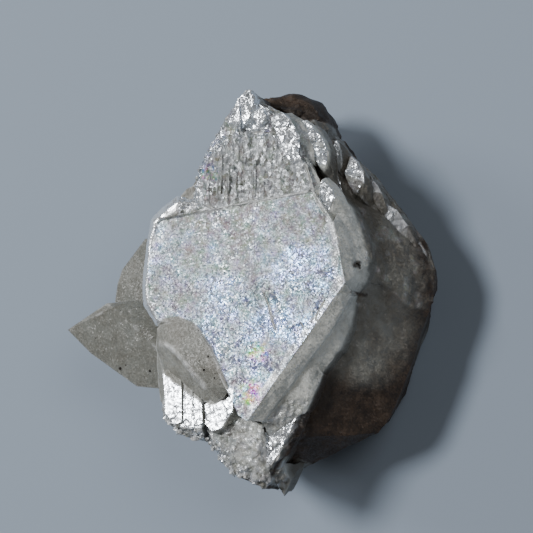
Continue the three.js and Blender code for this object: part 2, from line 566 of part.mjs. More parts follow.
const SUGARY_EDGES = [
  // bottom end, from the lower left corner round to the bottom tip
  {
    count: 16, band: 0.5,
    path: [[-13, -16.2, 3], [-11.9, -17.5, 3.2], [-10.2, -18.2, 3.3], [-8.9, -18.3, 3.4]],
  },
  {
    count: 26, band: 0.7,
    path: [
      [-8.4, -18.4, 3.8], [-7.5, -19.9, 4], [-6.4, -21.6, 4.4], [-5, -22.5, 4.5], [-3.2, -23.1, 4.6],
      [-1.9, -23.9, 4.7],
    ],
  },
  {
    count: 20, band: 1.6,
    path: [[-7.4, -18.6, 3.4], [-5.8, -20.4, 3.7], [-4, -21.4, 3.9], [-2.4, -22.2, 4.1]],
  },
  // the narrow ledge
  {
    count: 16, band: 0.8, size: 0.6,
    path: [[2.3, -15.6, 4], [1, -17.4, 4], [-0.4, -19.6, 4], [-1.5, -22, 4]],
  },
  // left edge of the upper part, the leftmost slab and the tip
  {
    count: 22, band: 0.6, size: 0.65,
    path: [
      [-9, 9.2, 1.1], [-8.6, 11.2, 1.3], [-7.8, 13.6, 1.5], [-6.8, 15, 1.7], [-5.8, 16.5, 1.9],
      [-4.5, 17.9, 1.9],
    ],
  },
  { path: [[-3.2, 16.8, 1.5], [-3.1, 18.6, 1.5], [-3, 20, 1.5]], count: 6, band: 0.4, size: 0.6 },
  // the blunt cap and the crests of the first ledges on the right
  {
    count: 14, band: 0.8, size: 0.8,
    path: [[0.8, 16.9, 1.05], [2, 16.2, 1.05], [3, 14.8, 1.05], [3, 13, 1.05]],
  },
  { path: [[3.8, 16.2, 2.75], [5, 14.4, 2.9], [5.5, 12.4, 3.3]], count: 9, band: 0.9, size: 0.55 },
  { path: [[6.4, 8.8, 0.7], [7, 7.4, 0.8], [6.9, 6.2, 0.9]], count: 8, band: 0.6, size: 0.5 },
  { path: [[8.2, 12, 5.8], [8.6, 10.4, 6.2], [8.6, 9, 6.8]], count: 7, band: 0.8, size: 0.5 },
  // broken patches low on the right
  {
    count: 10, band: 0.9, size: 0.55,
    path: [[12.2, 1.6, 10.4], [13.6, 2.4, 10.6], [14.6, 1.4, 11.4], [14.8, -1.4, 12]],
  },
  { path: [[10.2, 0.3, 3.6], [10.5, 1.6, 4]], count: 4, band: 0.5, size: 0.5 },
];

function cluster() {
  const crystals = [
    ...body(),
    ...bigFace(),
    ...upperEnd(),
    ...rightShoulder(),
    ...rightLedges(),
    ...rightFlanks(),
    ...lowerLeft(),
    ...cornerCrystal(),
    ...leftWedges(),
    ...knob(),
    ...hiddenSides(),
    ...SUGARY_EDGES.flatMap((edge, i) => grains(edge, 11 + i)),
  ];
  const whole = wasm.Manifold.union(crystals).subtract(
    wasm.Manifold.union([...undersideSteps(), ...cracks()]),
  );
  const mesh = whole.getMesh();
  const geometry = new THREE.BufferGeometry();
  geometry.setAttribute("position", new THREE.BufferAttribute(mesh.vertProperties, 3));
  geometry.setIndex(new THREE.BufferAttribute(mesh.triVerts, 1));
  geometry.computeBoundingBox();
  const middle = geometry.boundingBox.getCenter(new THREE.Vector3());
  geometry.translate(-middle.x, -middle.y, 0);
  return geometry;
}

const tunellite = new THREE.Mesh(
  cluster(),
  new THREE.MeshStandardMaterial({ color: 0xb9bbb8, roughness: 0.35, metalness: 0, flatShading: true }),
);
tunellite.name = "tunellite_crystal";

const group = new THREE.Group();
group.add(tunellite);
export default group;
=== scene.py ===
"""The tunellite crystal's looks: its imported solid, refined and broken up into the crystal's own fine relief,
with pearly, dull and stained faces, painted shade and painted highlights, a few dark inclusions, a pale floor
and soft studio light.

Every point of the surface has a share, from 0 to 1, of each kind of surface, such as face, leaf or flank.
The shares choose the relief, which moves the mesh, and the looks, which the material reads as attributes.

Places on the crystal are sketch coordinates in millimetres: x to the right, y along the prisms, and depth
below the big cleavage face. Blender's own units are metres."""

import bmesh
import bpy
import numpy as np
from mathutils import Matrix, Vector
from mathutils.bvhtree import BVHTree
from mathutils.kdtree import KDTree


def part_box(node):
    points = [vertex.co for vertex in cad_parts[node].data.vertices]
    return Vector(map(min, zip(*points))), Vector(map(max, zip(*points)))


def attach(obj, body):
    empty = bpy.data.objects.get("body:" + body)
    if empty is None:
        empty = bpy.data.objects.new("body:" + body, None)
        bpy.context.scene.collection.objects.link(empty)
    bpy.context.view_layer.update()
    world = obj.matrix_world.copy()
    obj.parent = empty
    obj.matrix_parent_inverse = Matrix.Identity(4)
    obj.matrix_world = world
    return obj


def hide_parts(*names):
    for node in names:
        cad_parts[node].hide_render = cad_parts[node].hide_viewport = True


MM = 0.001
NODE = "tunellite_crystal"

# Where the box of the solid lies in sketch coordinates.
LEFT_TIP_X = -28.5
BOTTOM_TIP_Y = -25.3
TOP_DEPTH = -0.3  # a small crystal's ridge stands this much above the big face

# The longest edges of the refined mesh: on the upper side, on the stepped flank, and elsewhere.
FINE_EDGE = 0.34 * MM
MIDDLE_EDGE = 0.5 * MM
COARSE_EDGE = 1.2 * MM
FINE_DEPTH = 13  # mm below the top
STEPPED_DEPTH = 16
STEPPED_START = 32  # mm from the left tip

CREASE = np.radians(14)  # edges at least this sharp stay crisp
WORN = np.radians(32)  # edges at least this sharp are bruised white
FLAT = np.radians(0.3)  # faces that turn less than this are one flat face
SAME_PLACE = 1e-6  # corners closer than this, in metres, are one corner
TINY = 1e-20  # no normal is divided by less than this

DEEPEST_DENT = 0.6  # mm that the relief may go into the solid
HIGHEST_BUMP = 0.45  # mm that it may stand out
FLAT_FOOT = (0.02, 0.4)  # mm above the floor between which the relief sets in

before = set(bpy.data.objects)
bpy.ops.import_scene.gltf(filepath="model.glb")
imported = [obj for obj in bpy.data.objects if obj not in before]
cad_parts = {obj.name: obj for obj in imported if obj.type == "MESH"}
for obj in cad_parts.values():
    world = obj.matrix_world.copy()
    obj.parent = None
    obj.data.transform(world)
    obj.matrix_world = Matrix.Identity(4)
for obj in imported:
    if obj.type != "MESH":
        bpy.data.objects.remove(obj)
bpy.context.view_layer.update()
low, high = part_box(NODE)


def to_sketch(points):
    """Frame coordinates in metres to sketch coordinates in millimetres, one row each."""
    return np.column_stack(
        (
            (points[:, 0] - low.x) / MM + LEFT_TIP_X,
            (points[:, 1] - low.y) / MM + BOTTOM_TIP_Y,
            (high.z - points[:, 2]) / MM + TOP_DEPTH,
        )
    )


def to_frame(x, y, depth):
    """A sketch point to frame coordinates in metres."""
    right, up, down = x - LEFT_TIP_X, y - BOTTOM_TIP_Y, depth - TOP_DEPTH
    return Vector((low.x + right * MM, low.y + up * MM, high.z - down * MM))


# ---- Numbers that vary over the surface


def ramp(value, start, end):
    """0 before start and 1 after end, smooth between them. Start may be the larger one."""
    t = np.clip((value - start) / (end - start), 0, 1)
    return t * t * (3 - 2 * t)


def dice(cells, seed):
    """A repeatable random number from 0 to 1 for each row of three whole numbers.

    Large odd factors and shifts mix the bits of the four numbers."""
    x, y, z = cells.T
    mixed = (x * 73856093 ^ y * 19349663 ^ z * 83492791 ^ seed * 2654435761) & 0xFFFFFFFF
    mixed = ((mixed ^ (mixed >> 13)) * 1274126177) & 0xFFFFFFFF
    mixed = ((mixed ^ (mixed >> 16)) * 668265263) & 0xFFFFFFFF
    return ((mixed ^ (mixed >> 15)) & 0xFFFFFF) / 0xFFFFFF


def waves(points, size, seed):
    """Smooth noise from -1 to 1 with lumps of about size, which is one number or three."""
    scaled = points / size
    cell = np.floor(scaled).astype(np.int64)
    part = scaled - cell
    part = part * part * (3 - 2 * part)
    total = np.zeros(len(points))
    for corner in np.ndindex(2, 2, 2):
        share = np.prod(np.where(corner, part, 1 - part), axis=1)
        total += share * (2 * dice(cell + np.array(corner), seed) - 1)
    return total


def tiles(points, size, seed, lean=1.0):
    """Flat tiles of about size that each lie and lean their own way, as heights from about -1 to 1."""
    scaled = points / size
    cell = np.floor(scaled).astype(np.int64)
    nearest = np.full(len(points), np.inf)
    height = np.zeros(len(points))
    for step in np.ndindex(3, 3, 3):
        home = cell + np.array(step) - 1
        away = scaled - home - np.column_stack([dice(home, seed + k) for k in range(3)])
        tilt = np.column_stack([dice(home, seed + 3 + k) - 0.5 for k in range(3)])
        distance = (away**2).sum(axis=1)
        closer = distance < nearest
        nearest = np.where(closer, distance, nearest)
        level = 2 * dice(home, seed + 6) - 1 + 2 * lean * (away * tilt).sum(axis=1)
        height = np.where(closer, level, height)
    return 0.7 * height  # with their leans the tiles reach beyond 1


def near(p, path, width):
    """1 within 0.4 of width from a path, and 0 beyond width, smooth between, seen from above."""
    flat = p[:, :2]
    nearest = np.full(len(p), np.inf)
    for a, b in zip(np.array(path[:-1], float), np.array(path[1:], float)):
        along = np.clip((flat - a) @ (b - a) / ((b - a) @ (b - a)), 0, 1)
        nearest = np.minimum(nearest, np.linalg.norm(flat - a - along[:, None] * (b - a), axis=1))
    return ramp(nearest, width, 0.4 * width)


def inside(p, outline, soft=0.3):
    """1 inside an outline and 0 outside it, smooth across a band of width soft outside its edge."""
    x, y, _ = p.T
    within = np.zeros(len(p), bool)
    for (ax, ay), (bx, by) in zip(outline, outline[1:] + outline[:1]):
        if ay != by:
            crosses = ((ay > y) != (by > y)) & (x < ax + (y - ay) * (bx - ax) / (by - ay))
            within ^= crosses
    return np.where(within, 1.0, near(p, outline + outline[:1], soft))


def strongest(*shares):
    """The largest share at each point."""
    return np.maximum.reduce(shares)


# ---- The mesh


def plain_triangles(node):
    """A node's corners and triangles, with each flat face triangulated afresh."""
    work = bmesh.new()
    work.from_mesh(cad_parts[node].data)
    bmesh.ops.remove_doubles(work, verts=work.verts, dist=SAME_PLACE)
    bmesh.ops.dissolve_degenerate(work, edges=work.edges, dist=SAME_PLACE)
    bmesh.ops.dissolve_limit(work, angle_limit=FLAT, verts=work.verts, edges=work.edges)
    bmesh.ops.triangulate(work, faces=work.faces)
    points = np.array([vertex.co for vertex in work.verts])
    triangles = np.array([[vertex.index for vertex in face.verts] for face in work.faces])
    work.free()
    return points, triangles


def edge_keys(pairs):
    """One whole number for each pair of corners, whichever of them comes first."""
    first, last = np.sort(pairs, axis=1).T
    return first << 32 | last


def edge_table(triangles):
    """Each edge's two corners once, and for each triangle the numbers of its three edges."""
    pairs = triangles[:, [0, 1, 1, 2, 2, 0]].reshape(-1, 2)
    keys, numbers = np.unique(edge_keys(pairs), return_inverse=True)
    return np.column_stack((keys >> 32, keys & 0xFFFFFFFF)), numbers.reshape(-1, 3)


def triangle_normals(points, triangles):
    """The unit normal of each triangle."""
    a, b, c = (points[triangles[:, k]] for k in range(3))
    cross = np.cross(b - a, c - a)
    return cross / np.maximum(np.linalg.norm(cross, axis=1, keepdims=True), TINY)


def most_level(points, triangles, members, count):
    """The vertical part of the normal of the most level triangle at each corner or edge.

    Members are the numbers of each triangle's corners or edges, and count is how many there are."""
    rise = triangle_normals(points, triangles)[:, 2]
    up = np.full(count, -1.0)
    for member in members.T:
        np.maximum.at(up, member, rise)
    return up


def too_long(points, triangles, edges, numbers):
    """Which edges are longer than wanted, which is shortest on the upper side."""
    up = most_level(points, triangles, numbers, len(edges))
    start, end = points[edges[:, 0]], points[edges[:, 1]]
    depth = (high.z - start[:, 2]) / MM
    stepped = (up > -0.1) & (start[:, 0] > low.x + STEPPED_START * MM) & (depth < STEPPED_DEPTH)
    upper = (up > 0.35) & (depth < FINE_DEPTH)
    wanted = np.where(upper, FINE_EDGE, np.where(stepped, MIDDLE_EDGE, COARSE_EDGE))
    return np.linalg.norm(end - start, axis=1) > wanted


def divided(points, triangles):
    """The same surface with every long edge halved until all are short."""
    while True:
        edges, numbers = edge_table(triangles)
        long = too_long(points, triangles, edges, numbers)
        if not long.any():
            return points, triangles
        middle = np.full(len(edges), -1)
        middle[long] = len(points) + np.arange(long.sum())
        points = np.vstack((points, points[edges[long]].mean(axis=1)))
        triangles = split(points, triangles, middle[numbers])


def split(points, triangles, middle):
    """Triangles divided at the middles of their edges; a middle of -1 is an edge that stays whole."""
    count = (middle >= 0).sum(axis=1)
    # turn each triangle so that its halved edges come first
    first = np.where(count == 1, np.argmax(middle >= 0, axis=1), 0)
    first = np.where(count == 2, (np.argmin(middle >= 0, axis=1) + 1) % 3, first)
    turned = (first[:, None] + np.arange(3)) % 3
    a, b, c = np.take_along_axis(triangles, turned, axis=1).T
    ab, bc, ca = np.take_along_axis(middle, turned, axis=1).T
    one, three = count == 1, count == 3
    # with two edges halved, the quadrilateral that is left is cut along its shorter diagonal
    crossing = np.linalg.norm(points[a] - points[bc], axis=1) < np.linalg.norm(points[ab] - points[c], axis=1)
    two, other_two = (count == 2) & crossing, (count == 2) & ~crossing
    pieces = [
        (count == 0, (a, b, c)),
        (one, (a, ab, c)),
        (one, (ab, b, c)),
        (count == 2, (ab, b, bc)),
        (two, (a, ab, bc)),
        (two, (a, bc, c)),
        (other_two, (a, ab, c)),
        (other_two, (ab, bc, c)),
        (three, (a, ab, ca)),
        (three, (ab, b, bc)),
        (three, (ca, bc, c)),
        (three, (ab, bc, ca)),
    ]
    return np.vstack([np.column_stack(corners)[chosen] for chosen, corners in pieces])


def creases(points, triangles):
    """The edges of the mesh, which of them are sharp, and the corners of those worn white."""
    edges, numbers = edge_table(triangles)
    normals = triangle_normals(points, triangles)
    order = np.argsort(numbers.ravel(), kind="stable")
    beside = (order // 3).reshape(-1, 2)  # a closed surface has two triangles at each edge
    one, other = normals[beside[:, 0]], normals[beside[:, 1]]
    turn = (one * other).sum(axis=1)
    centres = points[triangles].mean(axis=1)
    convex = ((centres[beside[:, 1]] - centres[beside[:, 0]]) * one).sum(axis=1) < 0
    worn = np.unique(edges[convex & (turn < np.cos(WORN))])
    return edges, turn < np.cos(CREASE), worn


def new_mesh(name, points, triangles):
    """A mesh of triangles."""
    mesh = bpy.data.meshes.new(name)
    mesh.from_pydata(points.tolist(), [], triangles.tolist())
    return mesh


def placed(name, mesh):
    """A mesh as an object of the scene."""
    piece = bpy.data.objects.new(name, mesh)
    bpy.context.scene.collection.objects.link(piece)
    return piece


def mark_sharp(mesh, edges, sharp):
    """Marks the sharp edges, which the mesh lists in another order than the table of edges does."""
    pairs = read(mesh.edges, "vertices", 2).astype(np.int64)
    found = np.searchsorted(edge_keys(edges), edge_keys(pairs))
    mesh.edges.foreach_set("use_edge_sharp", sharp[found])


def read(items, name, width):
    """One property of all the items, as a row of width numbers for each."""
    values = np.empty(len(items) * width, np.float32)
    items.foreach_get(name, values)
    return values.reshape(-1, width).astype(float)


def distance_to(points, targets, reach):
    """How far each point is from the nearest of the targets, up to reach."""
    tree = KDTree(len(targets))
    for index, target in enumerate(targets):
        tree.insert(target, index)
    tree.balance()
    return np.array([min(tree.find(point)[2], reach) for point in points])


RAYS = 10
CLEARANCE = 0.06  # mm above the surface at which a ray starts


def openness(points, triangles, normals, reach):
    """How much of what each point could see within reach mm isn't the crystal itself, from 0 to 1."""
    tree = BVHTree.FromPolygons(points.tolist(), triangles.tolist())
    golden_angle = np.pi * (3 - np.sqrt(5))
    turns = golden_angle * np.arange(RAYS)
    heights = 1 - (np.arange(RAYS) + 0.5) / RAYS
    flat = np.sqrt(1 - heights**2)
    rays = [Vector(ray) for ray in zip(flat * np.cos(turns), flat * np.sin(turns), heights)]
    free = np.empty(len(points))
    for i, (point, normal) in enumerate(zip(points, normals)):
        normal = Vector(normal)
        turn = Vector((0, 0, 1)).rotation_difference(normal)
        start = Vector(point) + CLEARANCE * normal
        hits = sum(tree.ray_cast(start, turn @ ray, reach)[0] is not None for ray in rays)
        free[i] = 1 - hits / RAYS
    return free


# ---- Places on the crystal

# Outlines as seen from above.
LEAF = [
    (-13.6, -6.4), (-12.2, -5.5), (-10.5, -5.3), (-9.1, -5.9), (-7.9, -7.1), (-6.7, -8.9), (-5.7, -11),
    (-4.7, -13.3), (-5.6, -14.4), (-6.8, -14.9), (-8.5, -14.7), (-11.1, -12.8), (-13.3, -11.2), (-14.4, -8.6),
]
UPPER_END = [
    (-10.6, 6), (-9.8, 11.5), (-7.2, 16), (-5, 19), (-3, 21.2), (-1.2, 19), (1.6, 17.9), (3.8, 15.2),
    (4.4, 12), (5.3, 9.7), (6.2, 8), (5.6, 6),
]
CAP = [
    (-0.2, 16.4), (0.6, 17.8), (2, 17.6), (3.4, 15.8), (4, 14), (3.7, 12), (2.7, 11.8), (1.2, 14), (0, 15.6),
]
TIP = [(-5.2, 17), (-3.2, 21.2), (-1.8, 20.6), (-0.4, 18.2), (-0.9, 16.2), (-3.2, 16.2)]
TABLETS = [
    (-13.6, -10.6), (-12.4, -10.4), (-10.6, -12), (-8.2, -13.8), (-4.2, -13.6), (-4.4, -16.2), (-7, -18.4),
    (-12, -17.4), (-13.4, -15.8),
]
SHOULDER = [
    (3, 17.4), (5, 11.4), (7.4, 8.7), (9.4, 7), (10, 4), (10, 1), (13.8, -3.6), (17, -4), (17, 4), (12, 11),
    (7, 16.5),
]
SUGARY_END = [
    (-13.8, -15.8), (-9.6, -18), (-5, -17), (-2, -15.6), (3.4, -14.6), (1.6, -21), (-1, -26), (-14, -18),
]
LOW_LEDGE = [
    (3.2, -14.8), (1.4, -15.6), (-1.2, -17.2), (-2.4, -18.4), (-3, -21), (-2.2, -22.8), (0.4, -20.2),
    (2, -17),
]
BOTTOM_TIP = [(-1.9, -22.2), (-0.6, -25.7), (0.2, -25.7), (1.9, -22.4), (0.4, -21)]

# Paths as seen from above.
FOLD = [(-8.6, 6.5), (5.3, 8.3)]  # where the upper end leans back from the big face
FOLD_X, FOLD_Y, FOLD_SLOPE = -8.1, 6.6, 0.134  # the line that parts the two: a point of it, and its slope
FACE_RIM = [(7.2, 5.6), (8, 3), (8, -1.2), (8.7, -2.1), (3.9, -8.3), (-2.4, -16.6)]
LOBE_CORNER = [(-8.9, 8.2), (-11, 8.2), (-12.7, 7.2), (-14, 5.7), (-14.5, 3)]
LOBE_RIM = LOBE_CORNER + [(-15, -1.8), (-14.7, -3.8), (-13.4, -5.8)]
LEAF_RIDGE = [(-13, -8.1), (-11.5, -8.7), (-10.2, -9.8), (-8.9, -11.5), (-7.6, -13.1)]
UPPER_LEFT_EDGE = [(-10, 8), (-9, 11.5), (-7, 15.6)]
SEAM = [(4.4, 12.6), (5.6, 10.4), (7.4, 8.6)]  # between the upper end and the first ledge
SUGARY_EDGE = [
    (-13.8, -16), (-12, -17.8), (-9.2, -18.5), (-7.8, -20.2), (-6.4, -21.8), (-5, -22.8), (-1.8, -24.2),
]
# where light is painted on the broken flank
LIT_FLANK_PATCH = [(10, -2), (11, -5), (8.5, -9)]
DENT = [(-0.3, -3.2), (0.7, -5.6)]
# pits in the flank, whose shade is painted dark
PITS = [[(9.7, -0.1), (9.9, 0.3)], [(9.3, -3), (9.9, -3)]]
CRACKS = [
    [(2.2, -8.6), (3.2, -7), (5.2, -6.3), (5.6, -5.2), (6.4, -4.4)],
    [(3.2, -7), (3.9, -8.3)],
    [(5.2, -6.3), (6, -6.2)],
    [(6.2, 7), (6.4, 5.8), (6.9, 5)],
]

# Spots where the face shows painted rainbow glints: x, y and how far they reach.
RAINBOWS = [(-7.2, 11.2, 1.69), (-1.9, -14, 1.82), (-8, 8.6, 0.91), (-1, -9.5, 1.56)]

# the face's painted highlight lies around this spot
PAINTED_HIGHLIGHT_SPOT = (2.5, -4.5)  # the middle of the face's most silvery part
PAINTED_HIGHLIGHT_SPREAD = 45  # in square mm
ACROSS_LATHS = (0.87, 0.5)  # the way across the shoulder's laths

# ---- Kinds of surface

# face: the big pearly cleavage face
# leaf: the small leaf-like crystal in the lower left
# tablets: the short bright prisms beside and below it
# upper: the rows of prisms at the upper end
# crests: the bright tops of the ledges, the cap and the highest tip
# sugar: the sugary broken lower end
# wedges: the two wedge crystals on the left, and the lowest tip
# shoulder: the pale flank under the ledges
# flank: the broken flank on the right, stained brown and painted dark with shade
# knob: the rounded knob behind the upper end, stained and painted dark with shade
# hidden: the left side and the underside

# Where the kinds set in or fade out: nothing at the first number, all at the second. Tops and feet are
# depths, lefts and rights are x, ends are y, and LEVEL and the tilts are how level a face is.
LEVEL = (0.9, 0.96)
LEAF_FOOT = (3, 2.8)
FACE_FOOT = (0.75, 0.45)
FACE_END = (0.1, -0.1)  # past the fold
TABLETS_FOOT = (3.4, 3)
TIP_FOOT = (2.8, 2.4)
CAP_FOOT = (2.2, 1.8)
CAP_TILT = (0.5, 0.8)
UPPER_START = (-0.1, 0.2)  # past the fold
UPPER_FOOT = (4.5, 3)
UPPER_TILT = (0.2, 0.6)
LEDGES_LEFT = (2.6, 3.4)
LEDGES_END = (-4, -3)
LEDGES_TOP = (0.45, 0.6)
LOW_LEDGE_TOP = (3.6, 3.8)
LOW_LEDGE_FOOT = (4.5, 4.3)
SUGAR_TOP = (2.3, 2.5)
SUGAR_FOOT = (8, 6.5)
SUGAR_TILT = (-0.1, 0.3)
BOTTOM_TIP_TOP = (5, 5.4)
WEDGES_RIGHT = (-15.3, -15.9)
WEDGES_TOP = (5.6, 6.2)
SHOULDER_TOP = (3.4, 4.4)
SHOULDER_FOOT = (14.5, 13)
KNOB_END = (14.6, 15.6)
KNOB_TOP = (5.8, 6.6)
FLANK_TOP = (3.6, 5.2)
LEFT_SIDE_TOP = (6, 9)
UNDERSIDE_TOP = (14, 15.5)


def regions(p, up):
    """The share of each kind of surface at points p. Up is how level the most level face there is,
    from -1 for one that faces down to 1 for one that faces up."""
    where = upper_regions(p, up)
    where.update(side_regions(p, 1 - where["crests"]))
    return where


def upper_regions(p, up):
    """The kinds that are seen from above."""
    x, y, depth = p.T
    level = ramp(up, *LEVEL)
    past_fold = y - (FOLD_Y + FOLD_SLOPE * (x - FOLD_X))

    leaf = inside(p, LEAF, 0.2) * ramp(depth, *LEAF_FOOT)
    face = level * ramp(depth, *FACE_FOOT) * ramp(past_fold, *FACE_END) * (1 - leaf)
    tablets = inside(p, TABLETS) * level * ramp(depth, *TABLETS_FOOT) * (1 - leaf)

    tip = inside(p, TIP) * ramp(depth, *TIP_FOOT)
    cap = inside(p, CAP) * ramp(depth, *CAP_FOOT) * ramp(up, *CAP_TILT)
    upper = inside(p, UPPER_END) * ramp(past_fold, *UPPER_START) * ramp(depth, *UPPER_FOOT)
    upper *= ramp(up, *UPPER_TILT) * (1 - cap) * (1 - tip)

    ledges = level * ramp(x, *LEDGES_LEFT) * ramp(y, *LEDGES_END) * ramp(depth, *LEDGES_TOP)
    ledges *= (1 - upper) * (1 - cap)
    low_ledge = level * inside(p, LOW_LEDGE, 0.1)
    low_ledge *= ramp(depth, *LOW_LEDGE_TOP) * ramp(depth, *LOW_LEDGE_FOOT)

    sugar = np.maximum(near(p, SUGARY_EDGE, 2.2), 0.55 * inside(p, SUGARY_END))
    sugar *= ramp(depth, *SUGAR_TOP) * ramp(depth, *SUGAR_FOOT) * ramp(up, *SUGAR_TILT)
    sugar *= (1 - tablets) * (1 - low_ledge)
    return {
        "face": face,
        "leaf": leaf,
        "tablets": tablets,
        "upper": upper,
        "crests": strongest(ledges, low_ledge, cap, tip),
        "sugar": sugar,
    }


def side_regions(p, no_crests):
    """The kinds on the flanks, the knob, the wedge crystals and the underside."""
    x, y, depth = p.T
    bottom_tip = inside(p, BOTTOM_TIP) * ramp(depth, *BOTTOM_TIP_TOP)
    wedges = ramp(x, *WEDGES_RIGHT) * ramp(depth, *WEDGES_TOP)
    shoulder = inside(p, SHOULDER, 0.8) * ramp(depth, *SHOULDER_TOP) * ramp(depth, *SHOULDER_FOOT)
    shoulder *= no_crests
    knob = ramp(y, *KNOB_END) * ramp(depth, *KNOB_TOP) * (1 - shoulder) * no_crests

    upper_right = ramp(x + 0.55 * y, 3.4, 5.4)
    painted_highlight = ramp(0.79 * x - 0.61 * y, 9.8, 10.8)
    flank = np.maximum(upper_right, painted_highlight) * ramp(depth, *FLANK_TOP)
    flank *= (1 - shoulder) * (1 - bottom_tip) * no_crests

    left_side = ramp(depth, *LEFT_SIDE_TOP) * (1 - flank) * (1 - wedges) * (1 - knob) * (1 - shoulder)
    return {
        "wedges": np.maximum(wedges, bottom_tip),
        "shoulder": shoulder,
        "flank": flank * (1 - knob),
        "knob": knob,
        "hidden": np.maximum(left_side, ramp(depth, *UNDERSIDE_TOP)),
    }


def unclaimed(where):
    """The share of the surface that belongs to none of the kinds."""
    return 1 - np.clip(sum(where.values()), 0, 1)


# ---- Relief: how far, in mm, the surface stands out of the plain solid


def relief(p, where):
    """The layers of noise of each kind. A layer has its height, the size of its lumps, and a seed."""
    # places bent out of line, which gives flakes and grains crooked edges
    bent = p + 0.5 * np.column_stack([waves(p, 1.8, seed) for seed in (1, 2, 3)])
    laths = along_laths(p)
    ribs = 0.13 * waves(laths, (0.8, 6, 3), 65) + 0.06 * waves(laths, (0.35, 3, 1.5), 66)
    growth = 0.03 * waves(p, 3, 101) + 0.012 * waves(p, (0.5, 2.5, 1), 102)
    kinds = {
        "face": face_relief(p, bent),
        "leaf": growth,
        "wedges": growth,
        "upper": upper_relief(bent),
        "crests": 0.1 * tiles(bent, (0.8, 1.6, 0.9), 50, lean=1.6) + 0.05 * waves(p, 0.7, 51),
        "tablets": 0.03 * waves(p, (0.4, 3, 2), 55) + 0.04 * tiles(bent, (1.1, 2.6, 1), 56),
        "sugar": 0.25 * tiles(bent, (1, 1.1, 0.8), 60, lean=1.5) + 0.1 * waves(p, 0.9, 61),
        "shoulder": ribs + 0.06 * tiles(bent, (0.9, 1.6, 0.9), 67) + 0.1 * waves(p, 2.2, 68),
        "flank": flank_relief(p, laths),
        "knob": 0.35 * waves(p, 2.6, 81) + 0.16 * waves(p, 1, 82) + 0.14 * tiles(bent, 0.9, 83),
        "hidden": hidden_relief(p, bent),
    }
    height = sum(where[kind] * stands_out for kind, stands_out in kinds.items())
    return height + common_relief(p, where) + unclaimed(where) * plain_relief(p, bent, ribs)


def along_laths(p):
    """Points in axes that lie across and along the laths of the shoulder."""
    x, y, depth = p.T
    right, up = ACROSS_LATHS
    return np.column_stack((right * x + up * y, right * y - up * x, depth))


def common_relief(p, where):
    """The face's upper part and the upper end sink together, and the fold between them is a ridge."""
    x, y, _ = p.T
    sunk = 0.28 * (where["face"] + where["upper"]) * ramp(y + 0.2 * x, -1, 7)
    return 0.05 * near(p, FOLD, 0.25) - sunk


def face_relief(p, bent):
    """Gentle swells, thin flakes, a dent, cracks, and the left lobe a little lower."""
    swell = 0.13 * waves(p, 5.5, 11) + 0.075 * waves(bent, 2.4, 12) + 0.022 * waves(bent, 1.1, 13)
    flakes = 0.02 * tiles(bent, (3.4, 4.6, 2), 20, lean=0.4)
    lobe = 0.1 * ramp(bent[:, 0] + 0.15 * p[:, 1], -4.6, -6.4)
    dent = 0.15 * near(bent, DENT, 1.9)
    cracks = 0.07 * strongest(*(near(bent, crack, 0.2) for crack in CRACKS))
    return swell + flakes - lobe - dent - cracks


def upper_relief(bent):
    """Fine lines along the prisms, broken into leaning grains."""
    striae = 0.025 * waves(bent, (0.6, 4, 3), 31) + 0.015 * waves(bent, (0.35, 1.8, 1.5), 32)
    return striae + 0.11 * tiles(bent, (0.7, 1, 0.8), 40, lean=1.8)


def flank_relief(p, laths):
    """Rounded lumps of a rough break, with faint ribs along the laths."""
    lumps = 0.2 * waves(p, 3.2, 71) + 0.09 * waves(p, 1.1, 72) + 0.04 * waves(p, 0.5, 73)
    return lumps + 0.05 * waves(laths, (0.6, 5, 3), 74)


def hidden_relief(p, bent):
    """Broken cleavage layers, which lie level."""
    leaves = 0.1 * waves(p, (7, 7, 0.45), 91) + 0.06 * waves(p, (3, 3, 0.2), 92)
    return leaves + 0.15 * waves(p, 2.8, 93) + 0.08 * tiles(bent, (1.6, 2.4, 0.8), 94)


def plain_relief(p, bent, ribs):
    """What belongs to no kind has soft lumps, level layers and, at the upper right, the shoulder's ribs."""
    x, y, _ = p.T
    lumps = 0.08 * waves(p, 2.2, 111) + 0.05 * waves(p, 0.8, 112)
    layers = 0.07 * waves(bent, (5, 5, 0.8), 113) + 0.04 * waves(bent, (3, 3, 0.45), 114)
    return lumps + layers + ramp(y, 1, 3) * ramp(x, 2, 3) * ribs


# How far, in mm, the finest noise stands in or out on each kind, which breaks it into glinting facets.
UNEVENNESS = {
    "face": 0.01,
    "upper": 0.09,
    "crests": 0.04,
    "tablets": 0.01,
    "sugar": 0.2,
    "shoulder": 0.048,
    "flank": 0.024,
    "knob": 0.04,
    "hidden": 0.024,
}
LEAST_UNEVENNESS = 0.004
FINEST_LUMPS = 0.35


def fine_relief(p, where):
    """The finest noise, which breaks up the surface of every kind."""
    amount = LEAST_UNEVENNESS + sum(most * where[kind] for kind, most in UNEVENNESS.items())
    return amount * waves(p, FINEST_LUMPS, 7)


# ---- Looks: the shares that steer the material


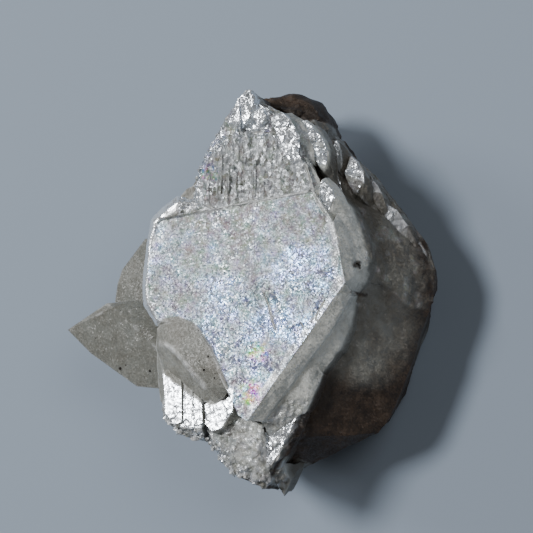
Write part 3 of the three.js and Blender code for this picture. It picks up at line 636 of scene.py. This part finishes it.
def looks(p, where, free, worn):
    """What is pearly, silvery, blue, mirroring, pale, stained, bruised white, and so on, with painted light
    and shade.

    Free is how open each point lies, and worn is how far it is, in mm, from a sharp edge."""
    stain_and_shade = stains_and_shade(p, where, free)
    silver = sheen(p, where)
    glints = ramp(waves(p, 0.9, 121), 0.2, 0.5)
    grains = ramp(waves(p, 0.5, 124) + 0.5 * waves(p, 1.2, 125), -0.1, 0.3)
    # painted highlight: the lobe's bevelled edge is whitened and made mirroring
    highlit_rim = near(p, LOBE_RIM, 1.6) * ramp(p[:, 2], 2, 1.6) * (1 - where["leaf"]) * (1 - where["face"])

    pearl = where["face"] + where["crests"] + where["tablets"] + highlit_rim + 0.6 * where["shoulder"] * glints
    pearl += where["upper"] * (0.6 + 0.4 * ramp(silver, 0.4, 0.8)) + where["sugar"] * (0.3 + 0.7 * grains)
    mirror = where["tablets"] + 0.85 * where["crests"] + 0.9 * highlit_rim
    mirror += where["sugar"] * grains + 0.7 * where["upper"] * glints
    shares = {
        "pearl": pearl * (1 - 0.85 * where["leaf"]),
        "sheen": silver,
        "blue": where["face"] + 0.5 * where["upper"] * ramp(silver, 0.6, 0.9),
        "mirror": mirror,
        "pale": paleness(p, where) * (1 - stain_and_shade),
        "stain_and_shade": stain_and_shade,
        "bright": bruises_and_highlights(p, where, highlit_rim, worn) * (1 - stain_and_shade),
        "rainbow": sum(near(p, [(x, y), (x + 0.1, y)], reach) for x, y, reach in RAINBOWS),
        "clear": where["wedges"],
        "grain": where["upper"] + where["sugar"] * (1 - 0.5 * grains) + 0.6 * where["crests"],
    }
    return {name: np.clip(values, 0, 1) for name, values in shares.items()}


def sheen(p, where):
    """How silvery the pearly faces are: patchy, with painted shade along the fold and a painted highlight in
    the lower right.
    """
    x, y, _ = p.T
    from_spot = (x - PAINTED_HIGHLIGHT_SPOT[0]) ** 2 + (y - PAINTED_HIGHLIGHT_SPOT[1]) ** 2
    patches = 0.5 * waves(p, 3.2, 131) + 0.4 * waves(p, 1.3, 132) + 0.25 * waves(p, 0.6, 133)
    painted_highlight = np.exp(-from_spot / PAINTED_HIGHLIGHT_SPREAD)
    fold_shade = ramp(y + 0.1 * x, 1.5, 5.5)
    lobe = ramp(x, -5.9, -6.7) * ramp(y, -4, -2)
    face = 0.42 + 0.45 * painted_highlight - 0.32 * fold_shade - 0.08 * lobe + 0.8 * patches

    bands = 0.6 * waves(p, (0.9, 4, 2), 134) + 0.5 * waves(p, (0.5, 1, 1), 135)
    # painted glints along the upper end's left edge and near its top
    upper = 0.2 + 0.7 * bands + 0.6 * near(p, UPPER_LEFT_EDGE, 1.8) + 0.4 * ramp(y, 13.5, 15.5)
    other = 0.75 + 0.5 * patches
    return np.where(where["upper"] > 0.5, upper, np.where(where["face"] > 0.3, face, other))


def lit_flank_patch(p):
    """Painted light on the upper part of the broken flank, which is stained less and paler there."""
    x, y, _ = p.T
    return near(p, LIT_FLANK_PATCH, 5) * ramp(x + 0.5 * y, 14, 9)


def stains_and_shade(p, where, free):
    """Brown staining and painted shade on the broken flank, the knob, the hidden sides and the shoulder, and
    painted shade in hollows.
    """
    x, y, depth = p.T
    mottle = 1 + 0.7 * waves(p, 1.7, 141) + 0.5 * waves(p, 0.6, 142)
    # the shoulder is half stained, and its outer right end darker with painted shade
    shoulder_stain_and_shade = (0.5 + 0.4 * ramp(x, 13, 15.5) * mottle) * where["shoulder"]
    # brown staining and painted shade on the flank, the knob, the hidden sides and the shoulder
    stained_and_shaded_sides = where["flank"] + where["knob"] + 0.4 * where["hidden"] + shoulder_stain_and_shade

    # painted shade in hollows: the less open a point lies, the darker; these kinds are spared it
    free_of_stain_and_shade = where["sugar"] + where["crests"] + 0.8 * where["upper"] + inside(p, TABLETS)
    free_of_stain_and_shade += 0.7 * near(p, SEAM, 2.5) * ramp(depth, 7, 5)
    hollow_shade = 0.85 * ramp(free, 0.45, 0.15) * ramp(depth, 1, 3) * (1 - np.clip(free_of_stain_and_shade, 0, 1))

    # painted light: the lit patch of the flank loses most of its brown
    lit_patch = np.clip(lit_flank_patch(p) * (0.6 + 0.4 * mottle), 0, 1)
    stain_and_shade = np.maximum(stained_and_shaded_sides, hollow_shade) * (1 - 0.6 * lit_patch)
    # painted shade on the leaf's facet above its ridge
    above_ridge = ramp(0.68 * x + 0.73 * y, -14.9, -14.5)
    stain_and_shade += 0.2 * where["leaf"] * above_ridge
    # painted shade in the pits
    pits = 0.9 * strongest(*(near(p, pit, 0.3) for pit in PITS)) * ramp(depth, 1, 1.5)
    return np.clip(np.maximum(stain_and_shade, pits), 0, 1)


def paleness(p, where):
    """Where the surface is whitish: on the ledges' sides and strips, partly as painted light, on the flank's
    lit patch as painted light, and a little on the leaf.
    """
    x, y, depth = p.T
    # painted light: strips and ledge sides that turn from the lamps are whitened
    strips = ramp(x - 0.4 * y, 2.5, 3.5)
    ledge_sides = 0.9 * ramp(x, 2.5, 3.5) * ramp(y, 3, 5)
    pale = unclaimed(where) * ramp(depth, 7, 5) * np.maximum(strips, ledge_sides)
    # painted light on the flank's lit patch; the leaf's share is its own paler tone
    return pale + 0.3 * lit_flank_patch(p) * where["flank"] + 0.15 * where["leaf"]


def bruises_and_highlights(p, where, highlit_rim, worn):
    """Worn edges and the face's edge bruised white, a white fold line, and painted highlights on the leaf's
    ridge, the lobe's edge and corner, crests and grains.
    """
    depth = p[:, 2]
    scuffs_and_glints = ramp(waves(p, 0.7, 122) + 0.6 * waves(p, 0.3, 123), -0.3, 0.5)
    return strongest(
        near(p, FOLD, 0.3) * ramp(depth, 1, 0.8) * (0.7 + 0.3 * scuffs_and_glints),
        near(p, LEAF_RIDGE, 0.45) * where["leaf"] * (0.3 + 0.7 * scuffs_and_glints),
        near(p, FACE_RIM, 0.5) * where["face"] * (0.4 + 0.6 * scuffs_and_glints),
        near(p, LOBE_CORNER, 2.6) * where["face"] * 0.8 * scuffs_and_glints,
        0.9 * highlit_rim,
        0.4 * where["crests"] * scuffs_and_glints,
        0.8 * where["sugar"] * ramp(waves(p, 0.6, 126), 0.05, 0.4),
        0.6 * ramp(worn, 0.3, 0.05) * ramp(depth, 9, 7) * scuffs_and_glints,
    )


# ---- The crystal

WORN_REACH = 1  # mm from a worn edge
OPEN_REACH = 5  # mm that a hollow's walls count within
FACETED = ("upper", "crests", "sugar", "tablets", "shoulder")
FACETED_SHARE = 0.4  # from this share of them on, a triangle is shaded flat


def crystal_piece():
    """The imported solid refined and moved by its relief, with its looks as attributes."""
    plain, triangles = divided(*plain_triangles(NODE))
    edges, sharp, worn_corners = creases(plain, triangles)
    mesh = new_mesh("tunellite", plain, triangles)
    mark_sharp(mesh, edges, sharp)
    points = to_sketch(plain)
    normals = read(mesh.vertex_normals, "vector", 3)
    where = regions(points, most_level(plain, triangles, triangles, len(points)))

    height = relief(points, where) + fine_relief(points, where)
    height *= ramp(plain[:, 2] / MM, *FLAT_FOOT)  # the resting face stays flat
    height = np.clip(height, -DEEPEST_DENT, HIGHEST_BUMP)
    moved = np.clip(plain + normals * height[:, None] * MM, np.array(low), np.array(high))
    mesh.vertices.foreach_set("co", moved.astype(np.float32).ravel())
    mesh.update()

    worn = distance_to(points, points[worn_corners], WORN_REACH)
    upright = to_sketch(moved) * (1, 1, -1)  # depth turned into height, as the normals have it
    free = openness(upright, triangles, normals, OPEN_REACH)
    for name, values in looks(points, where, free, worn).items():
        layer = mesh.attributes.new(name, "FLOAT", "POINT")
        layer.data.foreach_set("value", values.astype(np.float32))

    faceted = sum(where[kind] for kind in FACETED)
    mesh.polygons.foreach_set("use_smooth", faceted[triangles].mean(axis=1) < FACETED_SHARE)
    return placed("tunellite_cluster", mesh)


# ---- Materials

# The Mix node's sockets for colours come after those for numbers and vectors.
COLOUR_A, COLOUR_B, COLOUR_OUT = 6, 7, 2


class Nodes:
    """A material's nodes, made one after another."""

    def __init__(self, name):
        self.material = bpy.data.materials.new(name)
        self.material.use_nodes = True
        self.tree = self.material.node_tree
        self.shader = self.tree.nodes["Principled BSDF"]

    def add(self, kind, inputs=(), **settings):
        node = self.tree.nodes.new("ShaderNode" + kind)
        for name, value in settings.items():
            setattr(node, name, value)
        for name, value in dict(inputs).items():
            self.feed(node.inputs[name], value)
        return node

    def feed(self, socket, value):
        """Links a socket to another one, or gives it a fixed value."""
        if isinstance(value, bpy.types.NodeSocket):
            self.tree.links.new(value, socket)
        else:
            socket.default_value = value

    def shade(self, name, value):
        """Feeds one input of the material's shader."""
        self.feed(self.shader.inputs[name], value)

    def place(self):
        return self.add("TexCoord").outputs["Object"]

    def attribute(self, name):
        return self.add("Attribute", attribute_name=name).outputs["Fac"]

    def noise(self, place, scale, detail, roughness=0.5):
        inputs = {"Vector": place, "Scale": scale, "Detail": detail, "Roughness": roughness}
        return self.add("TexNoise", inputs)

    def cells(self, place, scale):
        """A random colour in each cell."""
        return self.add("TexVoronoi", {"Vector": place, "Scale": scale}).outputs["Color"]

    def channel(self, colour, name):
        return self.add("SeparateColor", {"Color": colour}).outputs[name]

    def mix(self, share, a, b, blend="MIX"):
        """Colour a where the share is 0, and b where it is 1."""
        node = self.add("Mix", data_type="RGBA", blend_type=blend)
        self.feed(node.inputs["Factor"], share)
        self.feed(node.inputs[COLOUR_A], a)
        self.feed(node.inputs[COLOUR_B], b)
        return node.outputs[COLOUR_OUT]

    def number(self, operation, *values):
        """A sum, product or the like of numbers."""
        node = self.add("Math", operation=operation)
        for socket, value in zip(node.inputs, values):
            self.feed(socket, value)
        return node.outputs[0]

    def times(self, a, b):
        return self.number("MULTIPLY", a, b)

    def larger(self, a, b):
        return self.number("MAXIMUM", a, b)

    def vector(self, operation, *values):
        """The same of vectors."""
        node = self.add("VectorMath", operation=operation)
        sockets = [socket for socket in node.inputs if socket.enabled]  # those that the operation uses
        for socket, value in zip(sockets, values):
            self.feed(socket, value)
        return node.outputs[0]

    def between(self, value, start, end, low=0.0, high=1.0):
        """Low where value is start, high where it is end, and in proportion between."""
        inputs = {"Value": value, "From Min": start, "From Max": end, "To Min": low, "To Max": high}
        return self.add("MapRange", inputs).outputs["Result"]


# Dull growth, and the paler kind on the right, which also paints light on sides turned from the lamps.
GREY = (0.31, 0.32, 0.295, 1)
DUSTY = (0.23, 0.225, 0.195, 1)
PALE = (0.80, 0.81, 0.76, 1)
# Pearly cleavage, from its dimmest to its most mirroring.
SATIN = (0.225, 0.24, 0.23, 1)
SILVER = (0.62, 0.63, 0.60, 1)
DULL_BLUE = (0.245, 0.32, 0.43, 1)
PALE_BLUE = (0.33, 0.47, 0.78, 1)
MIRROR = (0.84, 0.89, 0.95, 1)
# Brown staining, also painted shade on far sides and in hollows, and white for bruised edges and painted
# highlights.
STAIN_AND_SHADE = (0.02, 0.012, 0.008, 1)
OLIVE = (0.078, 0.05, 0.032, 1)
WHITE = (0.85, 0.87, 0.88, 1)

# Tunellite's index of refraction, and how light scatters in it.
IOR = 1.53
SCATTER = 0.3
SCATTER_TINT = (1.0, 0.95, 0.85)
SCATTER_DEPTH = 1.5 * MM
CLARITY = 0.25  # of the wedge crystals

# How fine the material's patterns are, as lumps or cells to a metre.
GLITTER = 6500.0
GRAINS = 2800.0
RIPPLE = 800.0
CLOUD = 380.0
BROAD = 90.0
GRAIN_SHAPE = (1.0, 0.7, 0.9)  # longer along the prisms


class Patterns:
    """The patterns that colour, polish and facet the crystal."""

    def __init__(self, nodes):
        place = nodes.place()
        self.ripple = nodes.noise(place, RIPPLE, 5.0, 0.75).outputs["Color"]
        self.cloud = nodes.noise(place, CLOUD, 7.0, 0.68).outputs[0]
        self.broad = nodes.noise(place, BROAD, 3.0).outputs[0]
        self.glitter = nodes.cells(place, GLITTER)
        self.grains = nodes.cells(nodes.vector("MULTIPLY", place, GRAIN_SHAPE), GRAINS)
        # the brightest of the glittering cells and of the grains
        self.spark = nodes.between(nodes.channel(self.glitter, "Red"), 0.72, 0.9, 0, 0.8)
        glint = nodes.between(nodes.channel(self.grains, "Blue"), 0.5, 0.7)
        self.glint = nodes.times(glint, nodes.attribute("grain"))


def pearl_colour(nodes, patterns):
    """Satin to pale blue, finely tinted, with painted rainbow glints, sparks and mirroring prisms."""
    sheen = nodes.attribute("sheen")
    rainbow = nodes.attribute("rainbow")
    vivid = nodes.add("HueSaturation", {"Color": patterns.ripple, "Saturation": 3.0, "Value": 1.4}).outputs[0]
    # the sheen's painted highlight and shade turn dim satin into pale blue
    bluish = nodes.mix(nodes.between(sheen, 0, 0.6), SATIN, DULL_BLUE)
    bluish = nodes.mix(nodes.between(sheen, 0.6, 1), bluish, PALE_BLUE)
    colour = nodes.mix(nodes.attribute("blue"), nodes.mix(sheen, SATIN, SILVER), bluish)
    colour = nodes.mix(nodes.between(rainbow, 0, 1, 0.25, 0.7), colour, vivid, "SOFT_LIGHT")
    colour = nodes.mix(patterns.spark, colour, MIRROR)
    colour = nodes.mix(nodes.times(rainbow, 0.6), colour, vivid)
    colour = nodes.mix(nodes.attribute("mirror"), colour, MIRROR)
    return nodes.mix(patterns.glint, colour, MIRROR)


def dull_colour(nodes, cloud):
    """Cloudy grey growth, whitish where it is pale and where light is painted on."""
    dull = nodes.mix(nodes.between(cloud, 0.35, 0.65), GREY, DUSTY)
    pale = nodes.mix(nodes.between(cloud, 0.45, 0.8), PALE, GREY)
    return nodes.mix(nodes.attribute("pale"), dull, pale)


def crystal_colour(nodes, patterns):
    """Dull growth and pearly cleavage, with brown staining, painted shade, white bruised edges and painted
    highlights over them.
    """
    cloud = patterns.cloud
    colour = nodes.mix(nodes.attribute("pearl"), dull_colour(nodes, cloud), pearl_colour(nodes, patterns))
    # the brown darkens staining and painted shade alike
    stain_and_shade_share = nodes.times(nodes.attribute("stain_and_shade"), nodes.between(patterns.broad, 0.2, 0.55, 0.9, 1.0))
    brown = nodes.mix(nodes.between(cloud, 0.35, 0.75), STAIN_AND_SHADE, OLIVE)
    colour = nodes.mix(stain_and_shade_share, colour, brown)
    # white of bruised edges and of painted highlights
    bruise_and_highlight = nodes.times(nodes.attribute("bright"), nodes.between(cloud, 0.35, 0.6, 0.25, 1.0))
    return nodes.mix(bruise_and_highlight, colour, WHITE)


def leaning(nodes, colour, amount):
    """A random colour as a lean to any side, by up to half of amount."""
    even = nodes.vector("ADD", colour, (-0.5, -0.5, -0.5))
    node = nodes.add("VectorMath", {"Vector": even}, operation="SCALE")
    nodes.feed(node.inputs["Scale"], amount)
    return node.outputs[0]


def facet_normal(nodes, patterns):
    """The surface's normal, rippled like satin and leant differently in each cell, which glints."""
    on_pearl = nodes.between(nodes.attribute("pearl"), 0, 1, 0.6, 0.42)
    calm = nodes.between(nodes.attribute("mirror"), 0, 1, 1.0, 0.3)
    amount = nodes.times(on_pearl, calm)
    leans = [
        leaning(nodes, patterns.glitter, nodes.times(amount, 0.85)),
        leaning(nodes, patterns.ripple, nodes.times(amount, 1.5)),
        leaning(nodes, patterns.grains, nodes.times(nodes.attribute("grain"), 0.9)),
    ]
    normal = nodes.add("NewGeometry").outputs["Normal"]
    for lean in leans:
        normal = nodes.vector("ADD", normal, lean)
    return nodes.vector("NORMALIZE", normal)


def crystal_metallic(nodes, patterns):
    """Pearly faces reflect partly as a metal does, and their sparks, glints and mirrors most."""
    silvery = nodes.between(nodes.attribute("sheen"), 0, 1, 0.18, 0.52)
    silvery = nodes.larger(silvery, patterns.spark)
    silvery = nodes.larger(silvery, nodes.times(patterns.glint, 0.8))
    silvery = nodes.larger(silvery, nodes.times(nodes.attribute("mirror"), 0.8))
    free_of_stain_and_shade = nodes.number("SUBTRACT", nodes.attribute("pearl"), nodes.attribute("stain_and_shade"))
    return nodes.times(free_of_stain_and_shade, silvery)


def crystal_roughness(nodes, cloud):
    """Silvery faces are the smoothest, and stained ones and those with painted shade the roughest."""
    satin = nodes.between(nodes.attribute("sheen"), 0, 1, 0.42, 0.24)
    satin = nodes.times(satin, nodes.between(nodes.attribute("mirror"), 0, 1, 1.0, 0.75))
    rough = nodes.between(nodes.attribute("pearl"), 0, 1, 0.4, satin)
    rough = nodes.times(rough, nodes.between(cloud, 0.3, 0.7, 0.85, 1.15))
    return nodes.larger(rough, nodes.between(nodes.attribute("stain_and_shade"), 0, 1, 0.2, 0.65))


def crystal_material():
    """Pearly, dull, stained and bruised surface, steered by the crystal's attributes."""
    nodes = Nodes("tunellite")
    patterns = Patterns(nodes)
    nodes.shade("Base Color", crystal_colour(nodes, patterns))
    nodes.shade("Normal", facet_normal(nodes, patterns))
    nodes.shade("Metallic", crystal_metallic(nodes, patterns))
    nodes.shade("Roughness", crystal_roughness(nodes, patterns.cloud))
    nodes.shade("Transmission Weight", nodes.times(nodes.attribute("clear"), CLARITY))
    nodes.shade("IOR", IOR)
    nodes.shade("Subsurface Weight", SCATTER)
    nodes.shade("Subsurface Radius", SCATTER_TINT)
    nodes.shade("Subsurface Scale", SCATTER_DEPTH)
    return nodes.material


# ---- Dark inclusions

# Where they show, as sketch x and y, and how wide they are in mm.
INCLUSIONS = [
    (-21.5, -10, 0.34), (-20.6, -9.7, 0.22), (-17.3, -10.5, 0.26), (-24.5, -6.4, 0.16), (-23.6, -8, 0.14),
    (-6.9, -9.8, 0.24), (-7.4, -11.3, 0.32), (-6.3, -12.2, 0.22), (-7.9, -10.3, 0.16),
]
ABOVE = -5  # a depth that is well above the crystal
STRETCH = (0.6, 1.3)  # how much narrower or wider than round a grain is
BUMPS = 0.25  # how far its corners stand in or out, as a share of its size
INCLUSION_DARK = (0.012, 0.011, 0.01, 1)
INCLUSION_LIGHT = (0.06, 0.05, 0.04, 1)
INCLUSION_CLOUD = 9000.0


def inclusion_piece(crystal):
    """Small dark angular grains, half sunk into the crystal."""
    surface = BVHTree.FromObject(crystal, bpy.context.evaluated_depsgraph_get())
    roll = np.random.default_rng(5)
    work = bmesh.new()
    for x, y, width in INCLUSIONS:
        spot = surface.ray_cast(to_frame(x, y, ABOVE), Vector((0, 0, -1)))[0]
        grain = bmesh.ops.create_icosphere(work, subdivisions=2, radius=width / 2 * MM)["verts"]
        stretch = Vector(roll.uniform(*STRETCH, 3))
        for corner in grain:
            bump = 1 + BUMPS * roll.uniform(-1, 1)
            corner.co = corner.co * stretch * bump + spot
    mesh = bpy.data.meshes.new("inclusions")
    work.to_mesh(mesh)
    work.free()
    return placed("dark_inclusions", mesh)


def inclusion_material():
    """Nearly black, with a few paler spots."""
    nodes = Nodes("inclusion")
    cloud = nodes.noise(nodes.place(), INCLUSION_CLOUD, 3.0).outputs[0]
    nodes.shade("Base Color", nodes.mix(nodes.between(cloud, 0.4, 0.7), INCLUSION_DARK, INCLUSION_LIGHT))
    nodes.shade("Roughness", nodes.between(cloud, 0.3, 0.7, 0.35, 0.6))
    return nodes.material


# ---- Camera, floor and light

# The camera stands over the crystal, a little towards its stepped side and its lower end.
SKETCH_AIM = (0.0, 0.0, 0.0)
CAMERA_WAY = Vector((0.36, -0.14, 1)).normalized()
CAMERA_DISTANCE = 0.240
IMAGE_SIDE = 533
PIXELS_PER_MM = 9.0  # at the aim
SENSOR_WIDTH = 36  # mm, as Blender measures lenses
NEAREST_SEEN = 0.01


def camera():
    """Looks down on the crystal with the prisms upright, through a lens that gives the wanted scale."""
    data = bpy.data.cameras.new("camera")
    data.sensor_width = SENSOR_WIDTH
    data.lens = PIXELS_PER_MM * CAMERA_DISTANCE / MM / IMAGE_SIDE * SENSOR_WIDTH
    data.clip_start = NEAREST_SEEN
    eye = placed("camera", data)
    eye.location = to_frame(*SKETCH_AIM) + CAMERA_DISTANCE * CAMERA_WAY
    along = Vector((0, 1, 0))
    up = (along - along.dot(CAMERA_WAY) * CAMERA_WAY).normalized()
    axes = (up.cross(CAMERA_WAY), up, CAMERA_WAY)
    eye.rotation_mode = "QUATERNION"
    eye.rotation_quaternion = Matrix([[axis[row] for axis in axes] for row in range(3)]).to_quaternion()
    bpy.context.scene.camera = eye


FLOOR_SIDE = 6.0
FLOOR_COLOUR = (0.335, 0.40, 0.487, 1)
SKY_COLOUR = (0.90, 0.88, 0.87, 1)
SKY_STRENGTH = 0.06

# Each lamp: its name, the way to it from the crystal, its distance and width in metres, and its watts.
LAMPS = [
    ("key", (-0.40, 0.20, 1), 0.6, 0.16, 2.6),
    ("side", (-1, 0.45, 0.55), 0.6, 0.2, 0.9),
    ("fill", (0.7, 0.3, 1.1), 0.7, 0.35, 0.85),
]


def floor():
    """A wide pale blue-grey floor without shine."""
    half = FLOOR_SIDE / 2
    corners = [(-half, -half, 0), (half, -half, 0), (half, half, 0), (-half, half, 0)]
    mesh = bpy.data.meshes.new("floor")
    mesh.from_pydata(corners, [], [(0, 1, 2, 3)])
    nodes = Nodes("floor")
    nodes.shade("Base Color", FLOOR_COLOUR)
    nodes.shade("Roughness", 0.9)
    nodes.shade("Specular IOR Level", 0.1)
    mesh.materials.append(nodes.material)
    placed("floor", mesh)


def sky():
    """A faint even light from all sides."""
    world = bpy.data.worlds.new("studio")
    bpy.context.scene.world = world
    world.use_nodes = True
    background = world.node_tree.nodes["Background"]
    background.inputs["Color"].default_value = SKY_COLOUR
    background.inputs["Strength"].default_value = SKY_STRENGTH


def lamp(name, way, distance, width, watts):
    """A round soft lamp that shines at the middle of the crystal."""
    data = bpy.data.lights.new(name, "AREA")
    data.shape = "DISK"
    data.size = width
    data.energy = watts
    light = placed(name, data)
    way = Vector(way).normalized()
    light.location = (low + high) / 2 + distance * way
    light.rotation_mode = "QUATERNION"
    light.rotation_quaternion = way.to_track_quat("Z", "Y")


camera()
crystal = crystal_piece()
crystal.data.materials.append(crystal_material())
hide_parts(NODE)
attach(crystal, "root")
inclusions = inclusion_piece(crystal)
inclusions.data.materials.append(inclusion_material())
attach(inclusions, "root")
floor()
sky()
for settings in LAMPS:
    lamp(*settings)
